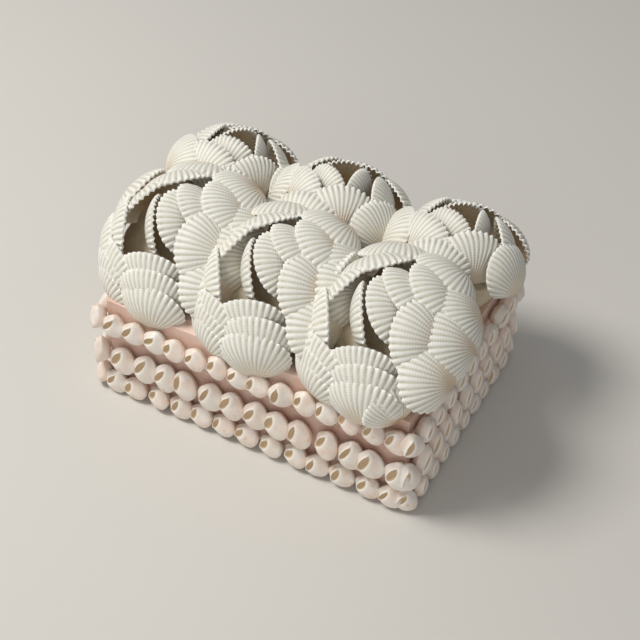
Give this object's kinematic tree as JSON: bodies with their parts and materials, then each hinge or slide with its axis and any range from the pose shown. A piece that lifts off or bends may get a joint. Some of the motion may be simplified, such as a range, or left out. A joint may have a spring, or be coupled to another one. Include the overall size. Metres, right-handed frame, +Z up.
{
  "type": "shell box",
  "caption": "Board box with a lift-off lid, its walls set with rows of small snail shells and its lid covered in rosettes of ribbed ark shell valves.",
  "frame": {"origin": "middle of the tray's underside, on the surface the box stands on", "axes": "+X along the long front wall to the right, +Y from the front to the back, +Z up"},
  "size_m": [0.1704, 0.1208, 0.0856],
  "materials": {
    "board": "matt salmon-pink painted board",
    "snail_shell": "smooth bleached sea snail shell, peachy white with tan mouths",
    "ark_shell": "ribbed chalky white ark shell, tan inside"
  },
  "bodies": {
    "root": {"tray": "board", "lid": "board", "lid_row_front": "snail_shell", "lid_row_right": "snail_shell", "lid_row_back": "snail_shell", "lid_row_left": "snail_shell", "upper_row_front": "snail_shell", "upper_row_right": "snail_shell", "upper_row_back": "snail_shell", "upper_row_left": "snail_shell", "lower_row_front": "snail_shell", "lower_row_right": "snail_shell", "lower_row_back": "snail_shell", "lower_row_left": "snail_shell", "rosette_front_left": "ark_shell", "rosette_front_middle": "ark_shell", "rosette_front_right": "ark_shell", "rosette_rear_left": "ark_shell", "rosette_rear_middle": "ark_shell", "rosette_rear_right": "ark_shell"}
  },
  "joints": []
}
